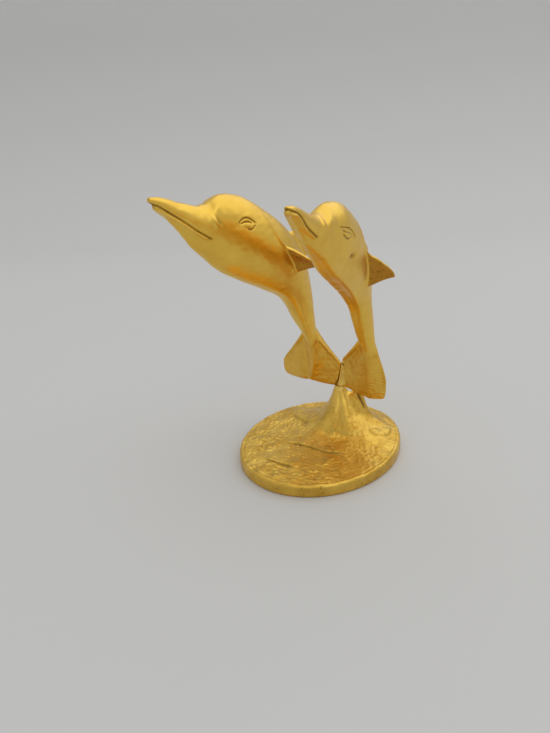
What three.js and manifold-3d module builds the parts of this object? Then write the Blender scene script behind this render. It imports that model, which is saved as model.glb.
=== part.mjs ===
// Dolphin pair figurine: two cast brass dolphins leaping side by side from the crest of a wave.
// Millimetres, +Z up. The origin is the centre of the base's underside, and the dolphins swim towards -Y.
// Each dolphin is one casting. Its inner tail lobe stands on the tip of the crest, where a bead of
// braze holds it, and a second run of braze fills the slit between the two inner lobes.

import * as THREE from "three";
import { mergeVertices } from "three/addons/utils/BufferGeometryUtils.js";
import Module from "manifold-3d";

const wasm = await Module();
wasm.setup();

// Clear gap left along every brazed joint, and the distance under which two vertices count as one.
const jointGap = 0.3;
const weldDistance = 1e-4;

// Oval base: its long side lies along Y. Its rings of points crowd towards the crest.
const baseLength = 77;
const baseWidth = 65;
const baseThickness = 5;
const rimRound = 1.2;
const rimSteps = 3;
const footChamfer = 0.5;
const baseSectors = 64;
const baseRings = 22;
const ringCrowding = 1.5;

// Wave crest that rises from the rear half of the base.
const crestCentre = new THREE.Vector2(1.5, 13.8);
const crestHeight = 23.6;
const crestRise = crestHeight - baseThickness;
const crestTopRadius = 2.7;
const crestFlare = 5;
const crestFolds = 5;
const crestFoldDepth = 0.07;
// The crest slopes more gently on its right.
const crestSpread = 0.34;
const crestSpreadTurn = THREE.MathUtils.degToRad(5);

// The second tongue of water, behind the crest on the right.
const tongueCentre = new THREE.Vector2(9.2, 18.8);
const tongueRise = 6.6;
const tongueRadius = 2.2;

// Sheet of water around the crest: it ends in a raised and scalloped lip.
const sheetReach = new THREE.Vector2(24, 10.5);
const sheetRise = 1.3;
const sheetSharpness = 12;
const lipScallops = 7;
const lipScallopDepth = 0.08;

// Ripples on the water: where each ridge lies, its half length and its rise.
const ripples = [
  { x: -3, y: -26.5, halfLength: 10, rise: 0.8 },
  { x: 4, y: -9.6, halfLength: 19, rise: 0.9 },
  { x: -16, y: -15, halfLength: 8, rise: 0.5 },
  { x: 15, y: -19, halfLength: 9, rise: 0.5 },
];
const rippleFront = 1.2;
const rippleBack = 4.5;

// Flippers: the front and rear of the root on the flank, and the tip, as [outward, forward, height]. The
// leading and the trailing edge bend at these shares of a flipper's or fin's length and reach.
const flipperFront = [6.8, 22.6, 88.8];
const flipperRear = [8, 15.5, 76.2];
const flipperTip = [15.1, 12.2, 78.3];
const flipper = { thickness: 2.2, depth: 4, leadBend: [0.34, 0.97], trailBend: [0.95, 0.4] };

// Leading edge of a tail lobe: two bends and its root, as [share of its span, height].
const slenderLead = [[0.93, 33.5], [0.2, 44.5], [0.1, 52.4]];
const fullLead = [[0.98, 36], [0.45, 42.5], [0.2, 52.4]];

// The two castings: the side that each stands on, the place of its tail, how far its body turns outward in
// degrees, how far its tail stock leans to the right, its size and girth against the stations below, the span
// and leading edge of its outer and inner tail lobe, how low the middle of its tail hangs, and the rear root
// and the tip of its inner flipper.
const dolphins = {
  left_dolphin: {
    side: -1, tail: [-12.5, 12.2], turn: 9.5, lean: 0, size: 1, girth: 1,
    outerLobe: { span: 18.1, lead: slenderLead }, innerLobe: { span: 18, lead: slenderLead },
    footDrop: 0, innerFlipper: [[8, 15.5, 77.2], [16.2, 12.8, 80]],
  },
  right_dolphin: {
    side: 1, tail: [13.5, 11.5], turn: 11.2, lean: 2.5, size: 0.985, girth: 0.81,
    outerLobe: { span: 7.9, lead: fullLead }, innerLobe: { span: 21.5, lead: slenderLead },
    footDrop: 2.2, innerFlipper: [[6.2, 14.5, 80.5], [7.2, 10.2, 83.8]],
  },
};
// The turn grows and the lean fades between these heights, and the girth tells between these stations.
const turnHeights = [36, 66];
const leanHeights = [44, 74];
const girthStations = [1, 5];

// Body stations from the tail stock to the tip of the beak: the back line and the belly line as
// [forward, height], and half the width.
const stations = [
  { back: [-1.2, 27], belly: [1.6, 27], half: 1.2 },
  { back: [-1.8, 36], belly: [3, 36], half: 2.4 },
  { back: [-2, 46], belly: [5, 46.5], half: 3.2 },
  { back: [-1.1, 57], belly: [9.6, 56.5], half: 4.2 },
  { back: [1.5, 70.6], belly: [16, 65.5], half: 5.8 },
  { back: [6, 83.5], belly: [26, 71.5], half: 8.3 },
  { back: [15, 94.3], belly: [37.5, 77.3], half: 9 },
  { back: [26.2, 102.4], belly: [47, 83], half: 8.2 },
  { back: [36, 107.4], belly: [53, 88.8], half: 6.9 },
  { back: [44.8, 108.5], belly: [57, 92.6], half: 5.8 },
  { back: [51, 105.5], belly: [60, 95.8], half: 4.6 },
  { back: [60.2, 107.2], belly: [65.4, 101.4], half: 3.1 },
  { back: [68.2, 109.7], belly: [69.8, 106], half: 2.1 },
  { back: [71.7, 110], belly: [71.4, 107.8], half: 1.1 },
];
const ringsPerSpan = 3;
const ringSides = 24;
const sectionPower = 1.9;

// Fin on the back: root ends and tip as [forward, height].
const finFront = [13, 92];
const finRear = [3.5, 79];
const finTip = [-4, 85];
const backFin = { thickness: 2.2, depth: 3, leadBend: [0.42, 0.92], trailBend: [0.95, 0.4] };

// Tail lobe: the corners and bends of its trailing edge as [share of its span, height], its foot first. The
// trailing edge of an outer lobe droops.
const lobeTrail = 25.2;
const lobeFoot = [-0.06, 25.6];
const lobeFootBend = [0.5, 24.6];
const lobeCorner = [0.86, lobeTrail];
const lobeCornerBend = [1, 25.8];
const lobeTip = [1, 29.2];
const lobeDroop = 1.4;
const lobeThickness = 2;
const lobeSweep = THREE.MathUtils.degToRad(13);

// Rounding along the edges of the flippers, fins and lobes.
const edgeRound = 0.5;
const edgeCurveSteps = 6;

// Slit between the inner lobes: its left and right edges in X at the top and at the foot.
const slitTop = 37;
const slitLeft = { top: 1.9, foot: -0.5 };
const slitRight = { top: 3.4, foot: 4.4 };
const slitMargin = 5;
const slitReach = 16;
const slitDepth = 30;

// Braze: how far its faces lie below those of the lobes, and the bead on the tip of the crest.
const brazeInset = 0.2;
const beadHalf = new THREE.Vector2(3.3, 2.2);
const beadHeight = 0.4;
const beadCurveSteps = 24;

const polishedBrass = { color: 0xd9a638, roughness: 0.28, metalness: 1 };
const castBrass = { color: 0xcf9c35, roughness: 0.38, metalness: 1 };
const brazeMetal = { color: 0xe3c47a, roughness: 0.42, metalness: 1 };

function solidOf(geometry) {
  const bare = geometry.clone();
  bare.deleteAttribute("normal");
  bare.deleteAttribute("uv");
  const merged = mergeVertices(bare, weldDistance);
  const mesh = new wasm.Mesh({
    numProp: 3,
    vertProperties: new Float32Array(merged.attributes.position.array),
    triVerts: new Uint32Array(merged.index.array),
  });
  return new wasm.Manifold(mesh);
}

function geometryOf(solid) {
  const mesh = solid.getMesh();
  const geometry = new THREE.BufferGeometry();
  geometry.setAttribute("position", new THREE.BufferAttribute(new Float32Array(mesh.vertProperties), 3));
  geometry.setIndex(new THREE.BufferAttribute(new Uint32Array(mesh.triVerts), 1));
  geometry.computeVertexNormals();
  return geometry;
}

function meshOf(name, geometry, finish) {
  const mesh = new THREE.Mesh(geometry, new THREE.MeshStandardMaterial(finish));
  mesh.name = name;
  return mesh;
}

function middleOf(points) {
  const sum = new THREE.Vector3();
  points.forEach((point) => sum.add(point));
  return sum.divideScalar(points.length);
}

// A closed skin over a row of rings with equal point counts; a fan to its middle closes each end.
function loft(rings) {
  const sides = rings[0].length;
  const points = rings.flat();
  const faces = [];
  for (let ring = 0; ring < rings.length - 1; ring++) {
    for (let side = 0; side < sides; side++) {
      const here = ring * sides + side;
      const next = ring * sides + ((side + 1) % sides);
      faces.push(here, next, next + sides);
      faces.push(here, next + sides, here + sides);
    }
  }
  const first = points.push(middleOf(rings[0])) - 1;
  const last = points.push(middleOf(rings.at(-1))) - 1;
  const lastRing = (rings.length - 1) * sides;
  for (let side = 0; side < sides; side++) {
    const next = (side + 1) % sides;
    faces.push(first, next, side);
    faces.push(last, lastRing + side, lastRing + next);
  }
  const geometry = new THREE.BufferGeometry().setFromPoints(points);
  geometry.setIndex(faces);
  return geometry;
}

// A plate of even thickness with rounded edges: its outline lies in the plane of along and across.
function plate(outline, thickness, origin, along, across) {
  const geometry = new THREE.ExtrudeGeometry(outline, {
    depth: thickness - 2 * edgeRound,
    curveSegments: edgeCurveSteps,
    bevelThickness: edgeRound,
    bevelSize: edgeRound,
    bevelOffset: -edgeRound,
    bevelSegments: 1,
  });
  geometry.translate(0, 0, edgeRound - thickness / 2);
  const face = new THREE.Vector3().crossVectors(along, across);
  geometry.applyMatrix4(new THREE.Matrix4().makeBasis(along, across, face).setPosition(origin));
  return geometry;
}

// A point of a dolphin from its distance to the side, forward and up.
function place(outward, forward, height) {
  return new THREE.Vector3(outward, -forward, height);
}

function bodySkin(girth) {
  const lineThrough = (line) => {
    const points = stations.map((station) => place(0, ...station[line]));
    return new THREE.CatmullRomCurve3(points, false, "centripetal");
  };
  const backLine = lineThrough("back");
  const bellyLine = lineThrough("belly");
  const halfWidths = new THREE.SplineCurve(stations.map(({ half }, index) => new THREE.Vector2(index, half)));
  const bluntness = 2 / sectionPower;
  const blunt = (value) => Math.sign(value) * Math.abs(value) ** bluntness;
  const ringCount = (stations.length - 1) * ringsPerSpan;
  const rings = [];
  for (let ring = 0; ring <= ringCount; ring++) {
    const along = ring / ringCount;
    const station = along * (stations.length - 1);
    const fullness = 1 - (1 - girth) * THREE.MathUtils.smoothstep(station, ...girthStations);
    const back = backLine.getPoint(along);
    const belly = new THREE.Vector3().lerpVectors(back, bellyLine.getPoint(along), fullness);
    const half = halfWidths.getPoint(along).y * fullness;
    const points = [];
    for (let side = 0; side < ringSides; side++) {
      const angle = (side / ringSides) * 2 * Math.PI;
      const point = new THREE.Vector3().lerpVectors(belly, back, 0.5 + 0.5 * blunt(Math.sin(angle)));
      point.x = half * blunt(Math.cos(angle));
      points.push(point);
    }
    rings.push(points);
  }
  return loft(rings);
}

// A swept triangular fin on a root line: it reaches into the body by depth.
function sweptFin(front, rear, tip, { thickness, depth, leadBend, trailBend }) {
  const along = new THREE.Vector3().subVectors(rear, front);
  const root = along.length();
  along.normalize();
  const toTip = new THREE.Vector3().subVectors(tip, front);
  const tipAlong = toTip.dot(along);
  const across = toTip.clone().addScaledVector(along, -tipAlong);
  const reach = across.length();
  across.normalize();
  const outline = new THREE.Shape();
  outline.moveTo(0, -depth);
  outline.lineTo(0, 0);
  outline.quadraticCurveTo(tipAlong * leadBend[0], reach * leadBend[1], tipAlong, reach);
  outline.quadraticCurveTo(root * trailBend[0], reach * trailBend[1], root, 0);
  outline.lineTo(root, -depth);
  outline.closePath();
  return plate(outline, thickness, front, along, across);
}

// One lobe of the tail: side is 1 for the lobe towards +X and -1 for the other.
function tailLobe(side, { span, lead }, droop, footDrop) {
  const at = ([share, height], drop = 0) => [share * span, height - drop];
  const root = lead.at(-1);
  const outline = new THREE.Shape();
  outline.moveTo(...at(lobeFoot, footDrop));
  outline.quadraticCurveTo(...at(lobeFootBend, droop), ...at(lobeCorner, droop));
  outline.quadraticCurveTo(...at(lobeCornerBend, droop), ...at(lobeTip));
  outline.bezierCurveTo(...lead.flatMap((bend) => at(bend)));
  outline.lineTo(...at([lobeFoot[0], root[1]]));
  outline.closePath();
  const along = new THREE.Vector3(side * Math.cos(lobeSweep), Math.sin(lobeSweep), 0);
  return plate(outline, lobeThickness, new THREE.Vector3(), along, new THREE.Vector3(0, 0, 1));
}

// Turns the body outward about the tail, more and more from the tail stock up, and leans the tail stock.
function bend(geometry, angle, lean) {
  const position = geometry.attributes.position;
  const up = new THREE.Vector3(0, 0, 1);
  const point = new THREE.Vector3();
  for (let index = 0; index < position.count; index++) {
    point.fromBufferAttribute(position, index);
    point.applyAxisAngle(up, angle * THREE.MathUtils.smoothstep(point.z, ...turnHeights));
    point.x += lean * (1 - THREE.MathUtils.smoothstep(point.z, ...leanHeights));
    position.setXYZ(index, point.x, point.y, point.z);
  }
}

// A wall that takes the inner lobe back to its edge of the slit.
function slitCutter(edge, side) {
  const far = edge.foot + side * slitReach;
  const run = (edge.top - edge.foot) / (slitTop - lobeTrail);
  const low = lobeTrail - slitMargin;
  const high = slitTop + slitMargin;
  const outline = new THREE.Shape();
  outline.moveTo(edge.foot + run * (low - lobeTrail), low);
  outline.lineTo(far, low);
  outline.lineTo(far, high);
  outline.lineTo(edge.foot + run * (high - lobeTrail), high);
  outline.closePath();
  const wall = new THREE.ExtrudeGeometry(outline, { depth: slitDepth, bevelEnabled: false });
  wall.rotateX(Math.PI / 2);
  wall.translate(0, slitDepth, 0);
  return wall;
}

function dolphin({ side, tail, turn, lean, size, girth, outerLobe, innerLobe, footDrop, innerFlipper }) {
  let solid = solidOf(bodySkin(girth));
  solid = solid.add(solidOf(tailLobe(side, outerLobe, lobeDroop, footDrop)));
  solid = solid.add(solidOf(tailLobe(-side, innerLobe, 0, footDrop)));
  for (const flank of [-1, 1]) {
    const [rear, tip] = flank === side ? [flipperRear, flipperTip] : innerFlipper;
    const corners = [flipperFront, rear, tip].map(
      ([outward, forward, height]) => place(flank * outward, forward, height));
    solid = solid.add(solidOf(sweptFin(...corners, flipper)));
  }
  const finCorners = [finFront, finRear, finTip].map((spot) => place(0, ...spot));
  solid = solid.add(solidOf(sweptFin(...finCorners, backFin)));
  const geometry = geometryOf(solid);
  bend(geometry, side * THREE.MathUtils.degToRad(turn), lean);
  geometry.translate(0, 0, -lobeTrail);
  geometry.scale(size, size, size);
  geometry.translate(...tail, lobeTrail);
  const cutter = slitCutter(side < 0 ? slitLeft : slitRight, -side);
  return geometryOf(solidOf(geometry).subtract(solidOf(cutter)));
}

// Height of the top of the base above its underside.
function waveHeight(x, y) {
  const fromCrest = new THREE.Vector2(x, y).sub(crestCentre);
  const angle = fromCrest.angle();
  const radius = fromCrest.length() * (1 + crestFoldDepth * Math.cos(crestFolds * angle));
  const spread = 1 - crestSpread * Math.max(0, Math.cos(angle - crestSpreadTurn));
  const crest = crestRise * Math.exp((-Math.max(0, radius - crestTopRadius) * spread) / crestFlare);
  const fromTongue = new THREE.Vector2(x, y).sub(tongueCentre).length() / tongueRadius;
  const tongue = tongueRise * Math.exp(-(fromTongue ** 2));
  const scallop = 1 + lipScallopDepth * Math.cos(lipScallops * angle);
  const fromSheet = Math.hypot(fromCrest.x / sheetReach.x, fromCrest.y / sheetReach.y) * scallop;
  const sheet = sheetRise / (1 + Math.exp(sheetSharpness * (fromSheet - 1)));
  let height = baseThickness + Math.min(crest + tongue, crestRise) + sheet * (1 - crest / crestRise);
  for (const ripple of ripples) {
    const across = y - ripple.y;
    const slope = across < 0 ? rippleFront : rippleBack;
    const lengthwise = (x - ripple.x) / ripple.halfLength;
    height += ripple.rise * Math.exp(-((across / slope) ** 2) - lengthwise ** 4);
  }
  return Math.min(height, crestHeight);
}

// Distance from the crest to the edge of the base in a direction, from the equation of the oval.
function reachToRim(direction) {
  const half = new THREE.Vector2(baseWidth / 2, baseLength / 2);
  const step = direction.clone().divide(half);
  const start = crestCentre.clone().divide(half);
  const a = step.lengthSq();
  const b = start.dot(step);
  const c = start.lengthSq() - 1;
  return (Math.sqrt(b * b - a * c) - b) / a;
}

function baseSkin() {
  const ringAt = (share, heightAt) => {
    const ring = [];
    for (let sector = 0; sector < baseSectors; sector++) {
      const turn = (sector / baseSectors) * 2 * Math.PI;
      const direction = new THREE.Vector2(Math.cos(turn), Math.sin(turn));
      const spot = crestCentre.clone().addScaledVector(direction, share(reachToRim(direction)));
      ring.push(new THREE.Vector3(spot.x, spot.y, heightAt(spot)));
    }
    return ring;
  };
  const rings = [];
  rings.push(ringAt((reach) => reach - footChamfer, () => 0));
  rings.push(ringAt((reach) => reach, () => footChamfer));
  for (let step = 0; step < rimSteps; step++) {
    const turn = ((step / rimSteps) * Math.PI) / 2;
    const inset = rimRound * (1 - Math.cos(turn));
    const drop = rimRound * (1 - Math.sin(turn));
    rings.push(ringAt((reach) => reach - inset, () => baseThickness - drop));
  }
  for (let ring = baseRings; ring > 0; ring--) {
    const share = (ring / baseRings) ** ringCrowding;
    rings.push(ringAt((reach) => share * (reach - rimRound), (spot) => waveHeight(spot.x, spot.y)));
  }
  return loft(rings);
}

// The run of braze that fills the slit between the two inner lobes.
function slitBraze() {
  const foot = lobeTrail + jointGap;
  const outline = new THREE.Shape();
  outline.moveTo(slitLeft.foot + jointGap, foot);
  outline.lineTo(slitRight.foot - jointGap, foot);
  outline.lineTo(slitRight.top - jointGap, slitTop);
  outline.lineTo(slitLeft.top + jointGap, slitTop);
  outline.closePath();
  const { tail, lean } = dolphins.right_dolphin;
  const sweptBack = tail[1] + Math.tan(lobeSweep) * (tail[0] + lean - slitRight.foot / 2);
  const depth = lobeThickness - 2 * brazeInset;
  const geometry = new THREE.ExtrudeGeometry(outline, { depth, bevelEnabled: false });
  geometry.rotateX(Math.PI / 2);
  geometry.translate(0, sweptBack + depth / 2, 0);
  return geometry;
}

// The bead between the tip of the crest and the feet of the inner lobes.
function crestBead() {
  const outline = new THREE.Shape();
  outline.absellipse(0, 0, beadHalf.x, beadHalf.y, 0, 2 * Math.PI);
  const geometry = new THREE.ExtrudeGeometry(outline, {
    depth: beadHeight,
    curveSegments: beadCurveSteps,
    bevelEnabled: false,
  });
  geometry.translate(crestCentre.x, crestCentre.y, crestHeight + jointGap);
  return geometry;
}

const figurine = new THREE.Group();
figurine.add(meshOf("wave_base", baseSkin(), castBrass));
for (const [name, casting] of Object.entries(dolphins)) {
  figurine.add(meshOf(name, dolphin(casting), polishedBrass));
}
figurine.add(meshOf("slit_braze", slitBraze(), brazeMetal));
figurine.add(meshOf("crest_bead", crestBead(), brazeMetal));

export default figurine;
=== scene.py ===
import math

import bmesh
import bpy
import numpy as np
from mathutils import Matrix, Vector


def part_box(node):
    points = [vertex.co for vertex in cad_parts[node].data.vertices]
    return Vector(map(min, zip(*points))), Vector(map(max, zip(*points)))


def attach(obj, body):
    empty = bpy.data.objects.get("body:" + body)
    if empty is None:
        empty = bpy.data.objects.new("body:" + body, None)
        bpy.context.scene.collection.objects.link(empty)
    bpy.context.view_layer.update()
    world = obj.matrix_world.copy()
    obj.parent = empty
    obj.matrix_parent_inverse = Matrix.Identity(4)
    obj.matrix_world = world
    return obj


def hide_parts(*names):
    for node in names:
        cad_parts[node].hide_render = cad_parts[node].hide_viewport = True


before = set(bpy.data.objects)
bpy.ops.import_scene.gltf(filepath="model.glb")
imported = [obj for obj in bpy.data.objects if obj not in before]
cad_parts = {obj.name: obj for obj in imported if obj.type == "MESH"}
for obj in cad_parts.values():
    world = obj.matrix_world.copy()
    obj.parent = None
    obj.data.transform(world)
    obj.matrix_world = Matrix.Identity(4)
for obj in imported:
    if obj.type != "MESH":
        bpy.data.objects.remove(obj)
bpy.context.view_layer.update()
mm = 0.001  # sizes in the dictionaries are millimetres
print("frame loaded:", sorted(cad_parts))


class Flow:  # a shader socket that takes part in Python expressions
    def __init__(self, tree, socket=None):
        self.tree = tree
        self.socket = socket

    def node(self, kind, settings=None, inputs=None, out=0):
        made = self.tree.nodes.new(kind)
        for key, value in (settings or {}).items():
            if key == "stops":
                for stop, (place, tone) in zip(made.color_ramp.elements, value):
                    stop.position = place
                    stop.color = (tone, tone, tone, 1)
            else:
                setattr(made, key, value)
        for key, value in (inputs or {}).items():
            if isinstance(value, Flow):
                self.tree.links.new(value.socket, made.inputs[key])
            else:
                made.inputs[key].default_value = value
        return Flow(self.tree, made.outputs[out] if made.outputs else None)

    def maths(self, operation, first, second):
        return self.node("ShaderNodeMath", {"operation": operation}, {0: first, 1: second})

    def __add__(self, other):
        return self.maths("ADD", self, other)

    def __sub__(self, other):
        return self.maths("SUBTRACT", self, other)

    def __mul__(self, other):
        return self.maths("MULTIPLY", self, other)

    __radd__ = __add__
    __rmul__ = __mul__

    def mix(self, first, second):  # first colour where this value is 0, second where it is 1
        return self.node(
            "ShaderNodeMix", {"data_type": "RGBA"}, {0: self, 6: first, 7: second}, out=2)  # colour sockets

    def ramp(self, low, high):  # 0 below low, 1 above high
        return self.node("ShaderNodeValToRGB", {"stops": [(low, 0), (high, 1)]}, {0: self})


def smoothstep(value, low, high):
    share = np.clip((value - low) / (high - low), 0, 1)
    return share * share * (3 - 2 * share)


def window(value, start, full, fading, end):  # rises from start to full, falls from fading to end
    return smoothstep(value, start, full) * (1 - smoothstep(value, fading, end))


def bell(distance, width):
    return np.exp(-((distance / width) ** 2))


def eased(count):  # shares from 0 to 1 that crowd at both ends
    return 0.5 - 0.5 * np.cos(np.linspace(0, math.pi, count))


def readOff(pairs, spot):  # value on the straight lines between pairs of spot and value
    return np.interp(spot, *np.transpose(pairs))


def circle(sides):  # places of its points across and up, between -1 and 1
    angle = np.linspace(0, 2 * math.pi, sides, endpoint=False)
    return np.cos(angle), np.sin(angle)


def superellipse(sides, power):  # the same, with flatter sides the higher the power
    return [np.sign(wave) * np.abs(wave) ** (2 / power) for wave in circle(sides)]


def raised(ring, heights):  # gives the points of a flat ring their heights
    return np.column_stack([ring, np.broadcast_to(heights, len(ring))])


def profileOf(points):  # how far forward and how high each point lies
    return np.stack([-points[:, 1], points[:, 2]], 1)


def curveThrough(points, shares):  # centripetal spline, shares run from 0 to 1 over its points
    points = np.asarray(points, float)
    ends = np.vstack([2 * points[0] - points[1], points, 2 * points[-1] - points[-2]])
    knots = np.linalg.norm(np.diff(ends, axis=0), axis=1) ** 0.5
    spans = len(points) - 1
    place = np.clip(np.asarray(shares, float) * spans, 0, spans - 1e-9)
    index = place.astype(int)
    step = (place - index)[:, None]
    before, start, end, after = (ends[index + k] for k in range(4))
    k0, k1, k2 = (knots[index + k][:, None] for k in range(3))
    leave = ((start - before) / k0 - (end - before) / (k0 + k1) + (end - start) / k1) * k1
    arrive = ((end - start) / k1 - (after - start) / (k1 + k2) + (after - end) / k2) * k1
    bend = 3 * (end - start) - 2 * leave - arrive
    return start + leave * step + bend * step**2 + (2 * (start - end) + leave + arrive) * step**3


def bezier(corners, shares):
    corners = np.asarray(corners, float)
    shares = np.asarray(shares, float)[:, None]
    order = len(corners) - 1
    return sum(
        math.comb(order, k) * shares**k * (1 - shares) ** (order - k) * corner
        for k, corner in enumerate(corners))


def alongLine(points, line, samples=60):  # distance to a smooth line, its side and the share along it
    spots = curveThrough(line, np.linspace(0, 1, samples))
    runs = np.gradient(spots, axis=0)
    offsets = points[:, None, :] - spots[None]
    nearest = np.argmin((offsets**2).sum(2), axis=1)
    offset = offsets[np.arange(len(points)), nearest]
    run = runs[nearest] / np.linalg.norm(runs[nearest], axis=1)[:, None]
    side = run[:, 0] * offset[:, 1] - run[:, 1] * offset[:, 0]
    lengthwise = (run * offset).sum(1)
    distance = np.hypot(side, lengthwise)
    return distance, side, nearest / (samples - 1)


def lumps(points, size, seed, waves=14, spread=0.4):  # smooth unevenness, mostly between -1 and 1
    draws = np.random.default_rng(seed)
    turns = draws.normal(size=(waves, points.shape[1]))
    turns *= 2 * math.pi / size / np.linalg.norm(turns, axis=1)[:, None]
    turns *= draws.uniform(1 - spread, 1 + spread, (waves, 1))
    starts = draws.uniform(0, 2 * math.pi, waves)
    return np.sin(points @ turns.T + starts).sum(1) / math.sqrt(waves * 2)


def loft(rings):  # closed skin over rings of equal point counts
    rings = np.asarray(rings)
    count, sides = rings.shape[:2]
    points = np.vstack([rings.reshape(-1, 3), rings[0].mean(0), rings[-1].mean(0)])
    side = np.arange(sides)
    turn = (side + 1) % sides
    faces = []
    for ring in range(count - 1):
        here = ring * sides
        faces += np.stack([here + side, here + turn, here + turn + sides, here + side + sides], 1).tolist()
    last = (count - 1) * sides
    faces += [[count * sides, b, a] for a, b in zip(side.tolist(), turn.tolist())]
    faces += [[count * sides + 1, last + a, last + b] for a, b in zip(side.tolist(), turn.tolist())]
    return points, faces


def mirrored(part):
    points, faces = part
    return points * np.array([-1, 1, 1]), [face[::-1] for face in faces]


def meshOf(name, points, faces):
    mesh = bpy.data.meshes.new(name)
    mesh.from_pydata(points.tolist(), [], faces)
    mesh.update()
    return mesh


def inScene(name, data):
    made = bpy.data.objects.new(name, data)
    bpy.context.scene.collection.objects.link(made)
    return made


def fuse(parts, voxel, rounds, softness=0.5):  # one even skin over parts that overlap
    points, faces = [], []
    for partPoints, partFaces in parts:
        start = sum(len(block) for block in points)
        points.append(partPoints)
        faces += [[start + corner for corner in face] for face in partFaces]
    work = inScene("rough", meshOf("rough", np.vstack(points), faces))
    skin = work.modifiers.new("skin", "REMESH")
    skin.mode = "VOXEL"
    skin.voxel_size = voxel
    soft = work.modifiers.new("soft", "SMOOTH")
    soft.factor = softness
    soft.iterations = rounds
    made = bpy.data.meshes.new_from_object(work.evaluated_get(bpy.context.evaluated_depsgraph_get()))
    bpy.data.objects.remove(work)
    return made


def pointsOf(mesh):
    flat = np.zeros(len(mesh.vertices) * 3, np.float32)
    mesh.vertices.foreach_get("co", flat)
    return flat.reshape(-1, 3).astype(float)


def normalsOf(mesh):
    flat = np.zeros(len(mesh.vertices) * 3, np.float32)
    mesh.vertex_normals.foreach_get("vector", flat)
    return flat.reshape(-1, 3).astype(float)


def setPoints(mesh, points):
    mesh.vertices.foreach_set("co", points.astype(np.float32).ravel())
    mesh.update()


def keepWearAndShade(mesh, grimeAndShade, filed, raw):  # shares from 0 to 1 for each point, which the finishes read; the grime layer also holds painted shade
    for name, values in (("grimeAndShade", grimeAndShade), ("filed", filed), ("raw", raw)):
        layer = mesh.attributes.new(name, "FLOAT", "POINT")
        shares = np.broadcast_to(np.clip(values, 0, 1), len(mesh.vertices))
        layer.data.foreach_set("value", np.ascontiguousarray(shares, np.float32))


def refine(mesh, chosen, roundness=0.6):  # splits every face whose corners are all chosen
    work = bmesh.new()
    work.from_mesh(mesh)
    work.verts.ensure_lookup_table()
    inside = [face for face in work.faces if all(chosen[corner.index] for corner in face.verts)]
    edges = list(dict.fromkeys(edge for face in inside for edge in face.edges))
    bmesh.ops.subdivide_edges(work, edges=edges, cuts=1, use_grid_fill=True, smooth=roundness)
    work.to_mesh(mesh)
    work.free()
    mesh.update()


def hollowness(mesh, rounds, pull=0.6):  # how far each point lies below its surroundings, in millimetres
    points = pointsOf(mesh)
    normals = normalsOf(mesh)
    edges = np.zeros(len(mesh.edges) * 2, np.int32)
    mesh.edges.foreach_get("vertices", edges)
    edges = edges.reshape(-1, 2)
    count = np.bincount(edges.ravel(), minlength=len(points))[:, None]
    spread = points.copy()
    for _ in range(rounds):
        total = np.stack([
            np.bincount(edges[:, 0], spread[edges[:, 1], axis], len(points))
            + np.bincount(edges[:, 1], spread[edges[:, 0], axis], len(points)) for axis in range(3)], 1)
        spread = (1 - pull) * spread + pull * total / count
    return ((spread - points) * normals).sum(1)


def showPiece(mesh, name, node, finish):  # puts a finished mesh in place of its CAD node
    setPoints(mesh, pointsOf(mesh) * mm)
    mesh.polygons.foreach_set("use_smooth", np.ones(len(mesh.polygons), bool))
    mesh.name = name
    mesh.materials.clear()
    mesh.materials.append(finish)
    piece = inScene(name, mesh)
    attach(piece, "root")
    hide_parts(node)
    print("piece", name, len(mesh.vertices), "points")


camera = {
    "eye": (112.8, -177.3, 123.5), "heading": 37.5, "pitch": 21.95, "roll": 2.55,
    "focalPixels": 551, "imageHeight": 733, "clipStart": 10,
}


def makeCamera():
    heading, pitch, roll = (math.radians(camera[key]) for key in ("heading", "pitch", "roll"))
    level = Vector((math.cos(heading), math.sin(heading), 0))
    ahead = Vector((
        -math.sin(heading) * math.cos(pitch), math.cos(heading) * math.cos(pitch), -math.sin(pitch)))
    down = ahead.cross(level)
    right = level * math.cos(roll) + down * math.sin(roll)
    up = level * math.sin(roll) - down * math.cos(roll)
    data = bpy.data.cameras.new("camera")
    data.lens = camera["focalPixels"] / camera["imageHeight"] * data.sensor_width
    data.clip_start = camera["clipStart"] * mm
    eye = inScene("camera", data)
    turn = Matrix((right, up, -ahead)).transposed().to_4x4()
    eye.matrix_world = Matrix.Translation(Vector(camera["eye"]) * mm) @ turn
    bpy.context.scene.camera = eye


makeCamera()
print("camera made")

# each finish's grime colour serves both real dirt and painted shade
brass = {
    "polished": {
        "bright": (0.90, 0.59, 0.10, 1), "deep": (0.74, 0.43, 0.055, 1), "grimeAndShade": (0.12, 0.055, 0.012, 1),
        "raw": (0.64, 0.27, 0.025, 1), "rawTint": 0.8,
        "tone": 0.55, "rough": 0.28, "roughSpread": 0.14, "grain": 0.04, "pitDepth": 0.3, "fileDepth": 0.2,
    },
    "cast": {
        "bright": (0.88, 0.59, 0.115, 1), "deep": (0.66, 0.39, 0.055, 1), "grimeAndShade": (0.16, 0.08, 0.015, 1),
        "raw": (0.66, 0.36, 0.045, 1), "rawTint": 0.2,
        "tone": 0.75, "rough": 0.3, "roughSpread": 0.18, "grain": 0.08, "pitDepth": 0.22, "fileDepth": 0.0,
    },
    "braze": {
        "bright": (0.90, 0.63, 0.15, 1), "deep": (0.78, 0.49, 0.085, 1), "grimeAndShade": (0.12, 0.055, 0.012, 1),
        "raw": (0.7, 0.42, 0.06, 1), "rawTint": 0.2,
        "tone": 0.6, "rough": 0.3, "roughSpread": 0.12, "grain": 0.04, "pitDepth": 0.1, "fileDepth": 0.3,
    },
}
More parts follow.
